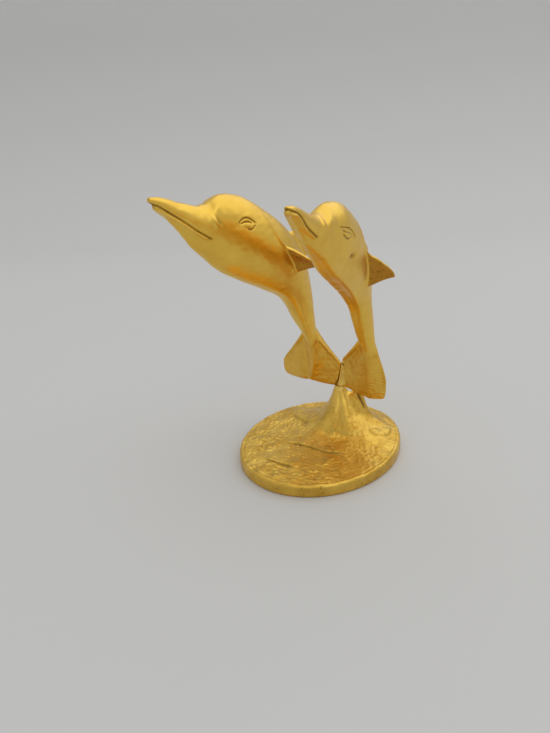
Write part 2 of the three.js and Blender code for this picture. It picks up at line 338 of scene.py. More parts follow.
patina = {  # noises with scale, detail and the levels where they begin and are full, then their shares
    "cloud": (70, 3, 0.36, 0.68), "stain": (260, 5, 0.42, 0.7), "pits": (900, 2, 0.58, 0.72),
    "grain": (1500, 4), "strokes": (420, 2), "strokeSqueeze": (1, 1, 9),
    "cloudShare": 0.65, "rawStain": 0.5, "grimeAndShadeStain": 0.25, "rawShade": 0.1, "pitShade": 0.5,
    "stainRough": 0.6, "grimeAndShadeRough": 0.22, "filedRough": 0.1, "bumpStrength": 0.5, "bumpDepth": 0.4,
}


def freshTree(owner):  # empties the nodes of a material or a world
    owner.use_nodes = True
    owner.node_tree.nodes.clear()
    return Flow(owner.node_tree)


def brassFinish(name):
    look = brass[name]
    material = bpy.data.materials.new(name + "Brass")
    flow = freshTree(material)
    place = flow.node("ShaderNodeTexCoord", out=3)  # object coordinates

    def noise(layer, squeeze=None):
        scale, detail, *levels = patina[layer]
        spot = place
        if squeeze:
            spot = flow.node("ShaderNodeMapping", {}, {"Vector": place, "Scale": squeeze})
        made = flow.node("ShaderNodeTexNoise", {}, {"Vector": spot, "Scale": scale, "Detail": detail})
        return made.ramp(*levels) if levels else made

    def kept(layer):
        return flow.node("ShaderNodeAttribute", {"attribute_name": layer}, out=2)  # its single value

    cloud, stain, pits, grain = (noise(layer) for layer in ("cloud", "stain", "pits", "grain"))
    strokes = noise("strokes", patina["strokeSqueeze"])
    grimeAndShade, filed, raw = (kept(layer) for layer in ("grimeAndShade", "filed", "raw"))
    mottle = cloud * patina["cloudShare"] + stain * (1 - patina["cloudShare"])
    tone = mottle * look["tone"] + patina["rawStain"] * raw * stain
    metal = (look["rawTint"] * raw).mix(tone.mix(look["bright"], look["deep"]), look["raw"])
    # the grime colour is laid over the metal where the grime layer is set: partly real dirt and patina,
    # partly painted shade in grooves, pits, the base's cut, at ridge feet and on the flipper faces
    sootAndShade = grimeAndShade * (1 - patina["grimeAndShadeStain"] + patina["grimeAndShadeStain"] * stain)
    shade = sootAndShade + raw * (patina["rawShade"] + patina["pitShade"] * pits)
    colour = shade.mix(metal, look["grimeAndShade"])
    worn = patina["stainRough"] * stain + (1 - patina["stainRough"]) * grain
    rough = look["rough"] + look["roughSpread"] * worn
    rough = rough + patina["grimeAndShadeRough"] * grimeAndShade + patina["filedRough"] * filed
    height = grain * look["grain"] - pits * raw * look["pitDepth"] + strokes * filed * look["fileDepth"]
    bump = flow.node("ShaderNodeBump", {}, {
        "Strength": patina["bumpStrength"], "Distance": patina["bumpDepth"] * mm, "Height": height})
    skin = flow.node("ShaderNodeBsdfPrincipled", {}, {
        "Base Color": colour, "Metallic": 1.0, "Roughness": rough, "Normal": bump})
    flow.node("ShaderNodeOutputMaterial", {}, {"Surface": skin})
    return material


finishes = {name: brassFinish(name) for name in brass}
print("finishes made:", sorted(finishes))

body = {
    "back": [  # forward and height at the stations from the tail stock to the tip of the beak
        (-1.2, 27), (-1.8, 36), (-2, 46), (-1.1, 57), (1.5, 70.6), (6, 83.5), (15, 94.3), (26.2, 102.4),
        (36, 107.4), (44.8, 108.5), (51, 105.5), (60.2, 107.2), (68.2, 109.7), (72.3, 110)],
    "belly": [
        (1.6, 27), (3, 36), (5, 46.5), (9.6, 56.5), (16, 65.5), (26, 71.5), (37.5, 77.3), (47, 83),
        (53, 88.8), (57, 92.6), (60, 95.8), (65.4, 101.4), (69.8, 106), (72, 107.9)],
    "half": [1.2, 2.4, 3.2, 4.2, 5.8, 8.3, 9, 8.2, 6.9, 5.8, 4.6, 3.1, 2.1, 1.1],
    "sectionPower": 1.9, "rings": 240, "sides": 72, "girthStations": (1, 5),
    "turnHeights": (36, 66), "leanHeights": (44, 74),
    "placeSteps": 261, "placeBlock": 20000, "placeOver": 0.65, "placeCost": 40,
    "bellyDepths": (0.6, 0.85), "rollWidth": 1.5, "bellySink": 0.2, "bellySinkWidth": 1.6,
    "keelHeights": (44, 56), "keelFacing": (0.1, 0.6), "keelSlopes": (0.7, 1.5), "keelWidth": 0.85,
    "keelSkew": 0.7, "throat": 8.6, "throatReach": 1.8, "throatDepths": (0.6, 1), "portWidth": 3,
    "voxel": 0.32, "softRounds": 7, "uneven": 0.07, "unevenSize": 9, "dents": 0.035, "dentSize": 3.2,
}
lastStation = len(body["half"]) - 1
blade = {  # how every fin is shaped along its span and its chord
    "spanSteps": 34, "spanEnd": 0.985, "chordSteps": 20, "nose": 0.16, "edge": 0.05, "thinning": 0.62,
    "tipThinning": 0.5, "dish": (0.12, 0.92), "dishStart": 0.25,
}
flipper = {
    "front": (6.8, 22.6, 88.8), "rear": (8, 15.5, 76.2), "tip": (15.2, 12.4, 78.9),
    "thickness": 2.2, "depth": 4, "leadBend": (0.68, 1.02), "trailBend": (0.95, 0.4), "hollow": 0.7,
    "shoulder": [(30, 100.6), (27.4, 96.6), (25, 92.6), (23.4, 89.9)], "shoulderSink": 0.25,
    "rim": [(0, 0.45), (0.42, 1), (1, 0.7)], "rimInset": 0.65, "rimRun": (2, 32, 3), "rimSteps": 60,
    "faceOut": (0.3, 0.9), "faceFrom": 5.5, "faceHeight": 82, "faceHalf": 9, "faceAhead": 24.5,
    # the darkening of the bare flipper faces is painted shade over their own bare casting colour
    "faceTurn": (0.55, 0.85), "faceRaw": 1.5, "sootAndShade": 0.15,
}
backFin = {
    "front": (0, 13, 92), "rear": (0, 3.5, 79), "tip": (0, -4, 85),
    "thickness": 2.3, "depth": 3, "leadBend": (0.42, 0.92), "trailBend": (0.95, 0.4), "hollow": 0,
}
slenderLead = [(0.93, 33.5), (0.2, 44.5), (0.05, 53.6)]  # bends and root of a lobe's edge: share, height
lowLead = [(0.93, 33.5), (0.2, 43.6), (0.05, 51.6)]
fullLead = [(0.98, 36), (0.45, 42.5), (0.2, 52.4)]
lobe = {
    "trail": 25.2, "foot": (-0.06, 25.6), "footBend": (0.5, 24.6), "corner": (0.86, 25.2),
    "cornerBend": (1, 25.8), "tip": (1, 29.2), "droop": 1.4,
    "thickness": [(0, 1.6), (0.15, 3.2), (0.3, 3.2), (0.6, 2.1), (1, 1.4)], "sweep": 13,
    "outlineSteps": 40, "rings": 60, "lastRing": 0.995, "crowding": 1.6, "sides": 48, "edgePower": 4.5,
    "tipRound": 0.6, "tipLeast": 0.05,
    "rim": [(0.05, 1), (0.3, 0.9), (1, 0.4)], "rimEnd": 0.97, "rimSink": 0.15,
    "ribPitch": 1.25, "ribHeights": (39, 45), "ribKeelGap": (0.6, 1.8), "ribFront": (0.7, 0.92),
    "ribRear": (0.8, 0.95), "ribRearShare": 0.3, "ribPatch": 5, "wander": 2.2, "wanderSize": 7,
    "fanBend": 0.05, "fanMiddle": 4, "fanHeights": (26, 40), "hammerSize": 2.6,
    "webHeights": (26.2, 52), "webNarrows": (36, 52), "webNarrowing": 0.88, "webFades": (42, 52),
    "webSink": 1.5, "webThickness": 1.8, "webBend": 0.5, "webRear": (0.8, 0.6),
    "webStations": 4, "webRings": 48, "webSteps": 10,
}
castings = {
    "left_dolphin": {
        "name": "leftDolphin", "side": -1, "tail": (-12.5, 12.2), "turn": 9.5, "lean": 0, "size": 1,
        "girth": 1, "outerLobe": (18.1, lowLead), "innerLobe": (18, slenderLead),  # span and leading edge
        "footDrop": 0, "innerDroop": 1,
        "webs": [(9, 0.55), (8, 0.8)], "webStep": 0.25,  # reach and hollowness to port and to starboard
        "innerFlipper": ((8, 15.5, 77.2), (16.2, 12.8, 80)),  # rear and tip
        "slit": (1.9, -0.5),  # its edge at the top and at the foot
        "pits": [], "throat": 0.7, "ribs": 0.03, "hammer": 0.12, "seed": 3,
        "swells": [(49.5, 107, 3, 0.6, False)],  # forward, height, reach, rise, only to port
        "roll": [  # station, distance from the middle, rise
            (2, 2.5, 0.6), (3, 2.9, 0.6), (4, 3.8, 0.5), (5, 4.2, 0.2), (6, 4.2, 0)],
        "keel": [  # height, distance to port
            (26, 0.6), (29, 1.6), (34.7, 3.4), (40.4, 3.8), (50, 2.9)],
        "keelRise": 0.4,
        "mouth": [
            (72.6, 108.2), (71, 107.4), (69.8, 106.9), (66.8, 104.9),
            (62.1, 101.7), (57.3, 98), (52.8, 94.9)],
        "crease": [(50.4, 108.8), (52.2, 105.5), (52.2, 102.5), (51.3, 100.5), (49.9, 98)],
        "creaseGroove": 0.3, "ball": (37.6, 97.7),
        "lids": [  # fold, upper lid and lower lid
            [(42, 98.6), (41.2, 99.6), (39.7, 100.3), (38, 100.4), (35.9, 99.4), (33.8, 97.6)],
            [(41.6, 98.5), (39.2, 99.1), (37.3, 98.8), (36.2, 98)],
            [(38.6, 97.4), (38.1, 96.6), (37.5, 96.3), (36.1, 96.7), (34.5, 97.7)]],
    },
    "right_dolphin": {
        "name": "rightDolphin", "side": 1, "tail": (13.5, 11.5), "turn": 11.2, "lean": 2.5, "size": 0.985,
        "girth": 0.81, "outerLobe": (7.9, fullLead), "innerLobe": (21.5, slenderLead), "footDrop": 2.2,
        "innerDroop": 0, "webs": [(6.5, 0.3), (11, 0.3)], "webStep": 0.15,
        "innerFlipper": ((6.2, 14.5, 80.5), (7.2, 10.2, 83.8)),
        "slit": (3.4, 4.4),
        "pits": [((6.3, 35.4, 90.3), 0.9, 0.5)],  # place, radius and depth
        "throat": 1, "ribs": 0.14, "hammer": 0.07, "seed": 8,
        "swells": [(45.5, 108, 6, -0.9, False), (38, 103, 8, 0.9, True), (28.5, 98, 6.5, 0.9, True)],
        "roll": [(2, 1.3, 0.5), (4, 1.8, 0.7), (6, 2.5, 0.7), (8, 2, 0.6), (9.5, 0.8, 0.2), (10.5, 0, 0)],
        "keel": [(26, 0.6), (50, 1.3)], "keelRise": 0.05,
        "mouth": [
            (72.8, 109.2), (69.9, 108.2), (68.1, 107.6), (66.3, 106.3),
            (64.1, 104.2), (61.1, 102), (57.6, 99.7)],
        "crease": [(50, 108.4), (52.2, 105.6), (53.5, 104), (53.8, 102.3), (53.3, 100.4)],
        "creaseGroove": 0, "ball": (40.4, 97.7),
        "lids": [
            [(45.6, 101), (42.2, 100.4), (38.8, 99.6), (36.3, 97.9), (34.7, 95.8)],
            [(44, 100.1), (41.6, 98.8), (39.3, 98.2), (37.2, 97)],
            [(43.4, 98.8), (41.6, 97.2), (39.5, 96.5), (36.6, 96.8)]],
    },
}
face = {
    "flankFacing": (0.2, 0.55), "beakTip": (67, 70), "mouthFade": (3, 1),
    # the darkening of the mouth groove, the crease fold and the lid lines is painted shade
    "grooveDepth": 0.5, "grooveWidth": 0.3, "grooveShade": 0.95,
    "lipRise": 0.55, "lipDrop": 0.62, "lipWidth": 0.3, "lipReach": 2.5, "lipEnd": 0.93,
    "jawInset": 0.3, "jawWindow": (0.9, 1.6, 2.5, 5), "jawReach": 7,
    "creaseRise": 0.4, "creaseWidth": 0.9, "creaseWindow": (0.05, 0.3, 0.75, 1),
    "foldBehind": 1.4, "foldWidth": 0.35, "foldReach": 2.5, "foldWindow": (0.55, 0.75, 0.9, 1),
    "foldShade": 1.6,
    "lidLine": 0.25, "lidDepth": 0.42, "lidStrengths": (1, 0.85, 0.85), "lidWindow": (0, 0.12, 0.85, 1),
    "lidShade": 0.9, "ballSize": (2.4, 1.15), "ballTilt": 14, "ballRise": 0.35,
    "fineMouth": 1.7, "fineCrease": 1, "fineLid": 1.2, "finePit": 2,
}
slit = {"top": 37, "foot": 25.2}
wearAndShade = {  # patina and painted shade in hollows, painted shade in pits, filed fins and tails, bare casting skin
    "tailHeights": (43, 46), "tailFiled": 0.6, "tailRaw": 0.25, "tailCleaner": 0.4,
    "finMiddle": (2, 86), "finReach": (6, 12), "finHalf": (1.5, 3),
    "hollowRounds": 14, "hollowDepths": (0.05, 0.3), "hollowPatinaAndShade": 0.7,
    "pitStretch": (1, 0.55, 1.3), "pitPaintedShade": 0.8,
}


def place(outward, forward, height):
    return np.array([outward, -forward, height], float)


def bodyLines(girth, shares):  # back line, belly line and half width of a casting
    back = curveThrough(body["back"], shares)
    belly = curveThrough(body["belly"], shares)
    half = curveThrough(list(enumerate(body["half"])), shares)[:, 1]
    station = shares * lastStation
    fullness = 1 - (1 - girth) * smoothstep(station, *body["girthStations"])
    return back, back + (belly - back) * fullness[:, None], half * fullness


def bodySkin(girth, keel):
    back, belly, half = bodyLines(girth, np.linspace(0, 1, body["rings"]))
    wide, tall = superellipse(body["sides"], body["sectionPower"])
    rings = []
    for top, foot, reach in zip(back, belly, half):
        spots = foot + (top - foot) * (0.5 + 0.5 * tall)[:, None]
        aside = body["keelSkew"] * readOff(keel, foot[1]) * (1 - smoothstep(foot[1], *body["keelHeights"]))
        outs = reach * wide + aside * (0.5 - 0.5 * tall)
        rings.append(np.stack([outs, -spots[:, 0], spots[:, 1]], 1))
    return loft(rings)


def bodyPlace(points, girth):  # station along the body and share from back to belly, for each point
    shares = np.linspace(0, 1, body["placeSteps"])
    back, belly, _ = bodyLines(girth, shares)
    run = belly - back
    spots = profileOf(points)
    station = np.zeros(len(points))
    depth = np.zeros(len(points))
    for start in range(0, len(points), body["placeBlock"]):
        part = slice(start, start + body["placeBlock"])
        offset = spots[part, None] - back
        depthAt = (offset * run).sum(2) / (run**2).sum(1)
        off = np.abs(offset[:, :, 0] * run[:, 1] - offset[:, :, 1] * run[:, 0]) / np.linalg.norm(run, axis=1)
        off = off + body["placeCost"] * np.maximum(np.abs(depthAt - 0.5) - body["placeOver"], 0)
        best = np.argmin(off, axis=1)
        station[part] = shares[best] * lastStation
        depth[part] = depthAt[np.arange(len(best)), best]
    return station, depth


def flankOut(points, girth):  # how far out the smooth flank lies beside each point
    station, depth = bodyPlace(points, girth)
    half = bodyLines(girth, station / lastStation)[2]
    power = body["sectionPower"]
    return half * np.clip(1 - np.abs(2 * depth - 1) ** power, 0, 1) ** (1 / power)


def tube(path, radii, up, sides=16):  # round bar along a path
    run = np.gradient(path, axis=0)
    side = np.cross(run, up)
    side /= np.linalg.norm(side, axis=1)[:, None]
    lift = np.cross(side, run)
    lift /= np.linalg.norm(lift, axis=1)[:, None]
    wide, tall = circle(sides)
    ring = wide[:, None] * side[:, None] + tall[:, None] * lift[:, None]
    return loft(path[:, None] + radii[:, None, None] * ring)


def sweptFin(look, front, rear, tip):  # blade with a hollow face, its leading edge and the way it faces
    front, rear, tip = place(*front), place(*rear), place(*tip)
    root = np.linalg.norm(rear - front)
    along = (rear - front) / root
    tipAlong = (tip - front) @ along
    across = tip - front - along * tipAlong
    reach = np.linalg.norm(across)
    across /= reach
    facing = np.cross(along, across)
    end = (tipAlong, reach)
    spans = np.concatenate([[-look["depth"] / reach], np.linspace(0, blade["spanEnd"], blade["spanSteps"])])
    lead = bezier([(0, 0), np.multiply(look["leadBend"], end), end], spans.clip(0))
    trail = bezier([(root, 0), np.multiply(look["trailBend"], (root, reach)), end], spans.clip(0))
    lead[0, 1] = trail[0, 1] = -look["depth"]
    chord = eased(blade["chordSteps"])
    swell = np.sqrt(np.clip(chord / blade["nose"], 0, 1)) * (1 - blade["thinning"] * chord)
    swell *= np.sqrt(np.clip((1 - chord) / blade["edge"], 0, 1))
    dishFrom, dishTo = blade["dish"]
    dish = np.sin(math.pi * np.clip((chord - dishFrom) / (dishTo - dishFrom), 0, 1)) ** 2
    rings = []
    for span, first, last in zip(spans.clip(0), lead, trail):
        thick = look["thickness"] / 2 * (1 - blade["tipThinning"] * span)
        line = first + (last - first) * chord[:, None]
        upper = thick * swell - look["hollow"] * dish * (1 - span) * smoothstep(span, 0, blade["dishStart"])
        spots = front + line[:, :1] * along + line[:, 1:] * across
        faceSide = spots + upper[:, None] * facing
        backSide = spots - (thick * swell)[:, None] * facing
        rings.append(np.vstack([faceSide, backSide[-2:0:-1]]))
    edge = front + lead[1:, :1] * along + lead[1:, 1:] * across
    return loft(rings), edge, facing


def flipperParts(rear, tip, girth):  # blade and the rounded rim that runs from the shoulder to near its tip
    fin, edge, facing = sweptFin(flipper, flipper["front"], rear, tip)
    shoulder = np.array([place(0, *spot) for spot in flipper["shoulder"]])
    shoulder[:, 0] = flankOut(shoulder, girth) - flipper["shoulderSink"]
    inner = edge[slice(*flipper["rimRun"])]
    inward = (edge[0] + place(*rear) + edge[-1]) / 3 - inner
    inner = inner + inward * flipper["rimInset"] / np.linalg.norm(inward, axis=1)[:, None]
    shares = np.linspace(0, 1, flipper["rimSteps"])
    path = curveThrough(np.vstack([shoulder, inner]), shares)
    return [fin, tube(path, readOff(flipper["rim"], shares), facing)], facing


def tailLobe(span, lead, droop, footDrop):  # lobe towards +X and the raised rim along its leading edge
    def at(spot, drop=0):
        return np.array(spot) * (span, 1) - (0, drop)

    sweep = math.radians(lobe["sweep"])

    def swept(out, off, heights):
        across = out * math.cos(sweep) - off * math.sin(sweep)
        return np.stack([across, out * math.sin(sweep) + off * math.cos(sweep), heights], 1)

    steps = np.linspace(0, 1, lobe["outlineSteps"])
    corner, tip = at(lobe["corner"], droop), at(lobe["tip"])
    low = np.vstack([
        bezier([at(lobe["foot"], footDrop), at(lobe["footBend"], droop), corner], steps),
        bezier([corner, at(lobe["cornerBend"], droop), tip], steps)])
    high = bezier([at(lead[2]), at(lead[1]), at(lead[0]), tip], steps)
    root = lobe["foot"][0] * span
    shares = 1 - (1 - np.linspace(0, lobe["lastRing"], lobe["rings"])) ** lobe["crowding"]
    outs = root + (span - root) * shares
    wide, tall = superellipse(lobe["sides"], lobe["edgePower"])
    rings = []
    for out, foot, head in zip(outs, readOff(low, outs), readOff(high, outs)):
        thick = readOff(lobe["thickness"], out / span)
        thick *= math.sqrt(min(1, (span - out) / lobe["tipRound"] + lobe["tipLeast"]))
        heights = (foot + head) / 2 + (head - foot) / 2 * tall
        rings.append(swept(out, thick / 2 * wide, heights))
    edge = np.linspace(lead[2][0], lobe["rimEnd"], lobe["outlineSteps"]) * span
    radii = readOff(lobe["rim"], edge / span)
    front = lobe["rimSink"] - readOff(lobe["thickness"], edge / span) / 2
    rim = swept(edge, front, readOff(high, edge) - radii)
    return [loft(rings), tube(rim, radii, (0, 1, 0))]


def tailWeb(reach, hollow, keel, step):  # fillet from the keel to the front of the lobe towards +X
    forward, heights = np.transpose(body["belly"][:lobe["webStations"]])
    sweep = math.radians(lobe["sweep"])
    edgeRear, middleRear = lobe["webRear"]
    steps = np.linspace(0, 1, lobe["webSteps"])
    rings = []
    for height in np.linspace(*lobe["webHeights"], lobe["webRings"]):
        sink = lobe["webSink"] * smoothstep(height, *lobe["webFades"]) - step
        ridge = np.array([readOff(keel, height), sink - np.interp(height, heights, forward)])
        out = reach * (1 - lobe["webNarrowing"] * smoothstep(height, *lobe["webNarrows"]))
        edge = np.array([out * math.cos(sweep), out * math.sin(sweep) - lobe["webThickness"] / 2])
        curve = bezier([ridge, ridge + (edge - ridge) * (lobe["webBend"], hollow), edge], steps)
        rings.append(raised(np.vstack([curve, edge + (0, edgeRear), (0, middleRear)]), height))
    return loft(rings)


def carveBody(points, normals, look):  # rolls along the belly, throat, keel, swells and uneven skin
    station, depth = bodyPlace(points, look["girth"])
    outward = np.abs(points[:, 0])
    height = points[:, 2]
    stations, outs, rises = np.transpose(look["roll"])
    width = np.interp(station, stations, outs)
    aboveTail = smoothstep(height, *body["keelHeights"])
    under = np.interp(station, stations, rises) * smoothstep(depth, *body["bellyDepths"]) * aboveTail
    push = under * bell(outward - width, body["rollWidth"])
    push -= under * body["bellySink"] * smoothstep(width - outward, 0, body["bellySinkWidth"])
    throat = bell(station - body["throat"], body["throatReach"]) * smoothstep(depth, *body["throatDepths"])
    push += look["throat"] * throat
    ahead = smoothstep(-normals[:, 1], *body["keelFacing"]) * (1 - aboveTail)
    fromKeel = points[:, 0] - readOff(look["keel"], height)
    slope = np.where(fromKeel < 0, *body["keelSlopes"])
    push += look["keelRise"] * bell(fromKeel / slope, body["keelWidth"]) * ahead
    profile = profileOf(points)
    for *middle, reach, lift, portOnly in look["swells"]:
        swell = lift * bell(np.linalg.norm(profile - middle, axis=1), reach)
        push += swell * smoothstep(points[:, 0], 0, body["portWidth"]) if portOnly else swell
    push += body["uneven"] * lumps(points, body["unevenSize"], look["seed"])
    push += body["dents"] * lumps(points, body["dentSize"], look["seed"] + 1)
    return push + carveTail(points, normals, fromKeel, look)


def carveTail(points, normals, fromKeel, look):  # ribs and hammer marks on the faces of the lobes
    height = points[:, 2]
    across = points[:, [0, 2]]
    flat = (1 - smoothstep(height, *lobe["ribHeights"])) * smoothstep(np.abs(fromKeel), *lobe["ribKeelGap"])
    rear = lobe["ribRearShare"] * smoothstep(normals[:, 1], *lobe["ribRear"])
    flat *= smoothstep(-normals[:, 1], *lobe["ribFront"]) + rear
    wander = lobe["wander"] * lumps(across, lobe["wanderSize"], look["seed"] + 2)
    fan = lobe["fanBend"] * (points[:, 0] - lobe["fanMiddle"]) ** 2 * smoothstep(height, *lobe["fanHeights"])
    ribs = np.sin(2 * math.pi * (height + fan) / lobe["ribPitch"] + wander)
    ribs *= 0.5 + 0.5 * lumps(across, lobe["ribPatch"], look["seed"] + 3)
    hammer = look["hammer"] * lumps(points, lobe["hammerSize"], look["seed"] + 4)
    return flat * (look["ribs"] * ribs + hammer)


def carveFace(points, normals, look):  # mouth, brow crease and eyes; returns the push and the painted shade in their grooves
    spot = profileOf(points)
    flank = smoothstep(np.abs(normals[:, 0]), *face["flankFacing"])
    distance, side, share = alongLine(spot, look["mouth"])
    corner = look["mouth"][-1][0]
    behind, ahead = face["mouthFade"]
    front = smoothstep(spot[:, 0], corner - behind, corner + ahead)
    snout = np.maximum(flank, smoothstep(spot[:, 0], *face["beakTip"])) * front
    fade = 1 - smoothstep(share, face["lipEnd"], 1)
    groove = bell(distance, face["grooveWidth"]) * snout
    lip = bell(side - face["lipDrop"], face["lipWidth"]) * snout * fade * (distance < face["lipReach"])
    jaw = window(side, *face["jawWindow"]) * front * fade * (distance < face["jawReach"])
    push = face["lipRise"] * lip - face["grooveDepth"] * groove - face["jawInset"] * jaw
    # the mouth groove, the crease fold and the lid lines are darkened: painted shade
    grimeAndShade = face["grooveShade"] * groove
    distance, side, share = alongLine(spot, look["crease"])
    push += face["creaseRise"] * bell(distance, face["creaseWidth"]) * window(share, *face["creaseWindow"])
    fold = bell(side + face["foldBehind"], face["foldWidth"]) * (distance < face["foldReach"])
    fold *= look["creaseGroove"] * window(share, *face["foldWindow"])
    push -= fold
    grimeAndShade = np.maximum(grimeAndShade, face["foldShade"] * fold)
    lines = np.zeros(len(points))
    for line, strength in zip(look["lids"], face["lidStrengths"]):
        distance, _, share = alongLine(spot, line)
        drawn = bell(distance, face["lidLine"]) * window(share, *face["lidWindow"]) * flank
        lines = np.maximum(lines, strength * drawn)
    fromBall = spot - np.array(look["ball"])
    tilt = math.radians(face["ballTilt"])
    along = (fromBall[:, 0] * math.cos(tilt) + fromBall[:, 1] * math.sin(tilt)) / face["ballSize"][0]
    above = (fromBall[:, 1] * math.cos(tilt) - fromBall[:, 0] * math.sin(tilt)) / face["ballSize"][1]
    ball = np.sqrt(np.clip(1 - along**2 - above**2, 0, 1)) * flank
    push += face["ballRise"] * ball - face["lidDepth"] * lines
    return push, np.maximum(grimeAndShade, face["lidShade"] * lines)


def fineRegion(points, look):  # where the face needs the finest skin
    spot = profileOf(points)
    fine = alongLine(spot, look["mouth"])[0] < face["fineMouth"]
    fine |= alongLine(spot, look["crease"])[0] < face["fineCrease"]
    for line in look["lids"]:
        fine |= alongLine(spot, line)[0] < face["fineLid"]
    for pit, radius, _ in look["pits"]:
        fine |= np.linalg.norm(points - place(*pit), axis=1) < radius * face["finePit"]
    return fine


def cutSlit(mesh, look):  # trims the inner lobe to its edge of the slit
    top, foot = look["slit"]
    lean = Vector((top - foot, 0, slit["top"] - slit["foot"])).normalized()
    away = Vector((lean.z, 0, -lean.x)) * -look["side"]
    work = bmesh.new()
    work.from_mesh(mesh)
    cut = bmesh.ops.bisect_plane(
        work, geom=work.verts[:] + work.edges[:] + work.faces[:], dist=1e-4,
        plane_co=(foot, 0, slit["foot"]), plane_no=away, clear_outer=True)
    rim = [item for item in cut["geom_cut"] if isinstance(item, bmesh.types.BMEdge)]
    bmesh.ops.triangle_fill(work, edges=rim, use_beauty=True)
    bmesh.ops.recalc_face_normals(work, faces=work.faces[:])
    work.to_mesh(mesh)
    work.free()
    mesh.update()


def bend(points, look):  # leans and turns the body, then puts it in its place
    turn = math.radians(look["turn"]) * look["side"] * smoothstep(points[:, 2], *body["turnHeights"])
    cosine, sine = np.cos(turn), np.sin(turn)
    lean = look["lean"] * (1 - smoothstep(points[:, 2], *body["leanHeights"]))
    turned = np.stack([
        points[:, 0] * cosine - points[:, 1] * sine + lean,
        points[:, 0] * sine + points[:, 1] * cosine, points[:, 2]], 1)
    pivot = np.array([0, 0, lobe["trail"]])
    return (turned - pivot) * look["size"] + pivot + np.array([*look["tail"], 0])


def bareFaces(points, normals, facing, girth):  # rough casting skin on the hollow faces of the flippers
    outward = np.abs(points[:, 0])
    faces = smoothstep(outward - flankOut(points, girth), *flipper["faceOut"])
    faces *= outward > flipper["faceFrom"]
    faces *= np.abs(points[:, 2] - flipper["faceHeight"]) < flipper["faceHalf"]
    faces *= -points[:, 1] < flipper["faceAhead"]
    mirroredNormals = np.column_stack([np.sign(points[:, 0]) * normals[:, 0], normals[:, 1:]])
    return flipper["faceRaw"] * faces * smoothstep(mirroredNormals @ facing, *flipper["faceTurn"])


def makeDolphin(node):
    look = castings[node]
    outer, facing = flipperParts(flipper["rear"], flipper["tip"], look["girth"])
    inner, _ = flipperParts(*look["innerFlipper"], look["girth"])
    outer += tailLobe(*look["outerLobe"], lobe["droop"], look["footDrop"])
    inner += tailLobe(*look["innerLobe"], look["innerDroop"], look["footDrop"])
    port, starboard = (outer, inner) if look["side"] > 0 else (inner, outer)
    for half, hand, web in zip((port, starboard), (1, -1), look["webs"]):
        half.append(tailWeb(*web, [(height, hand * out) for height, out in look["keel"]], look["webStep"]))
    fin, _, _ = sweptFin(backFin, backFin["front"], backFin["rear"], backFin["tip"])
    parts = [bodySkin(look["girth"], look["keel"]), fin, *port, *(mirrored(part) for part in starboard)]
    mesh = fuse(parts, body["voxel"], body["softRounds"])
    points, normals = pointsOf(mesh), normalsOf(mesh)
    setPoints(mesh, points + normals * carveBody(points, normals, look)[:, None])
    refine(mesh, fineRegion(pointsOf(mesh), look))
    points, normals = pointsOf(mesh), normalsOf(mesh)
    push, grimeAndShade = carveFace(points, normals, look)
    # the pits are darkened: painted shade in the dips
    for pit, radius, depth in look["pits"]:
        dip = bell(np.linalg.norm((points - place(*pit)) * wearAndShade["pitStretch"], axis=1), radius)
        push -= depth * dip
        grimeAndShade = np.maximum(grimeAndShade, wearAndShade["pitPaintedShade"] * dip)
    setPoints(mesh, points + normals * push[:, None])
    bare = bareFaces(points, normals, facing, look["girth"])
    tail = 1 - smoothstep(points[:, 2], *wearAndShade["tailHeights"])
    onFin = 1 - smoothstep(np.linalg.norm(profileOf(points) - wearAndShade["finMiddle"], axis=1), *wearAndShade["finReach"])
    onFin *= 1 - smoothstep(np.abs(points[:, 0]), *wearAndShade["finHalf"])
    # darkens the hollows: partly patina, partly painted shade, such as the dark line at the foot of the
    # flipper rims
    hollows = smoothstep(hollowness(mesh, wearAndShade["hollowRounds"]), *wearAndShade["hollowDepths"])
    hollows *= wearAndShade["hollowPatinaAndShade"] - wearAndShade["tailCleaner"] * tail
    # the bare flipper faces get a share of the grime colour: painted shade over their own bare casting
    # colour
    grimeAndShade = np.maximum.reduce([grimeAndShade, flipper["sootAndShade"] * bare, hollows])
    filed = np.maximum(onFin, wearAndShade["tailFiled"] * tail)
    keepWearAndShade(mesh, grimeAndShade, filed, np.maximum(bare, wearAndShade["tailRaw"] * tail))
    setPoints(mesh, bend(pointsOf(mesh), look))
    cutSlit(mesh, look)
    showPiece(mesh, look["name"], node, finishes["polished"])


for node in castings:
    makeDolphin(node)

